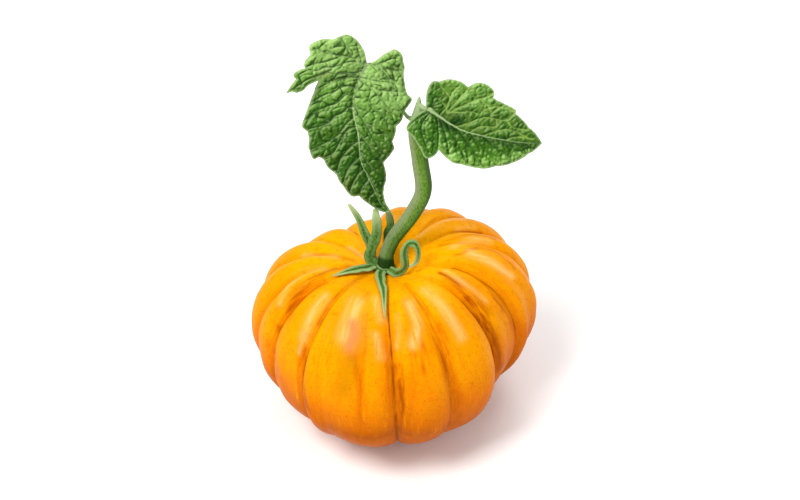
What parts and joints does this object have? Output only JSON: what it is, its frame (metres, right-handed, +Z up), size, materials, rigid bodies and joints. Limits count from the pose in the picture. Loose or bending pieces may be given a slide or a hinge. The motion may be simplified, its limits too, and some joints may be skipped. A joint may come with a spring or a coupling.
{
  "type": "tomato",
  "caption": "Ribbed beefsteak tomato with a sunken stem end, narrow sepals, a cut curved stem end and two lobed leaves, resting on a small flat spot.",
  "frame": {"origin": "middle of the flat spot at the blossom end, on which the fruit rests", "axes": "+Z up out of the resting spot towards the stem end, +X towards the right-hand leaf, -Y towards the side that the leaves face"},
  "size_m": [0.1211, 0.1201, 0.1714],
  "materials": {
    "skin": "smooth waxy tomato skin, deep yellow-orange, browner in the creases",
    "sepals": "downy green sepal with pale edges",
    "stem_skin": "downy green stem, paler at its cut tip",
    "leaf": "puckered dark green leaf with pale veins"
  },
  "bodies": {
    "root": {"fruit": "skin", "calyx": "sepals", "stem": "stem_skin", "leaf_left": "leaf", "leaf_right": "leaf"}
  },
  "joints": []
}
